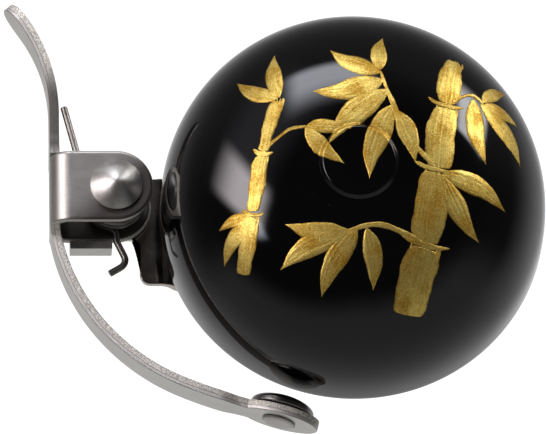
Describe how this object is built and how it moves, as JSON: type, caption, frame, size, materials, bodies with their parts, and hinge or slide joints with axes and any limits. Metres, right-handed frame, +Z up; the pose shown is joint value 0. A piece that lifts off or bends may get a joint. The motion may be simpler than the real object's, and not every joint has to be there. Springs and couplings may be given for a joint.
{
  "type": "bicycle bell",
  "caption": "Lever-strike handlebar bell: lacquered round dome on a post, band clamp for the bar, and a sprung thumb lever that swings a round striker against the dome.",
  "frame": {"origin": "on the handlebar's axis, under the centre of the dome", "axes": "+Z up along the dome's axis, +X along the handlebar away from the lever, +Y from the striker towards the thumb tab"},
  "size_m": [0.0769, 0.064, 0.0792],
  "materials": {
    "lacquered_brass": "high gloss black lacquer with hand-brushed gold bamboo",
    "stainless_steel": "finely brushed, with sheared edges",
    "dark_steel": "dark polished plate",
    "spring_steel": "drawn wire",
    "plated_steel": "zinc plated, satin",
    "rubber": "matt black",
    "fibre": "vulcanised fibre"
  },
  "bodies": {
    "base": {"base_bracket": "dark_steel", "bell_dome": "lacquered_brass", "crown_screw": "lacquered_brass", "center_post": "plated_steel", "dome_washer": "fibre", "post_lock_washer": "plated_steel", "post_screw": "plated_steel", "strap_band": "plated_steel", "strap_liner": "rubber", "clamp_screw": "plated_steel", "clamp_washer": "plated_steel", "clamp_nut": "plated_steel", "pivot_rivet": "stainless_steel", "pivot_bush": "plated_steel", "pivot_washer": "plated_steel", "torsion_spring": "spring_steel"},
    "lever_arm": {"lever": "stainless_steel", "striker_head": "stainless_steel"}
  },
  "joints": [
    {"name": "lever_pivot", "type": "hinge", "parent": "base", "child": "lever_arm", "pos_m": [-0.0337, 0.00315, 0.02768], "axis": [0, 0, -1], "range_deg": [-2.3, 22], "stiffness_Nm_per_rad": 0.25, "deforming": ["torsion_spring"]}
  ]
}
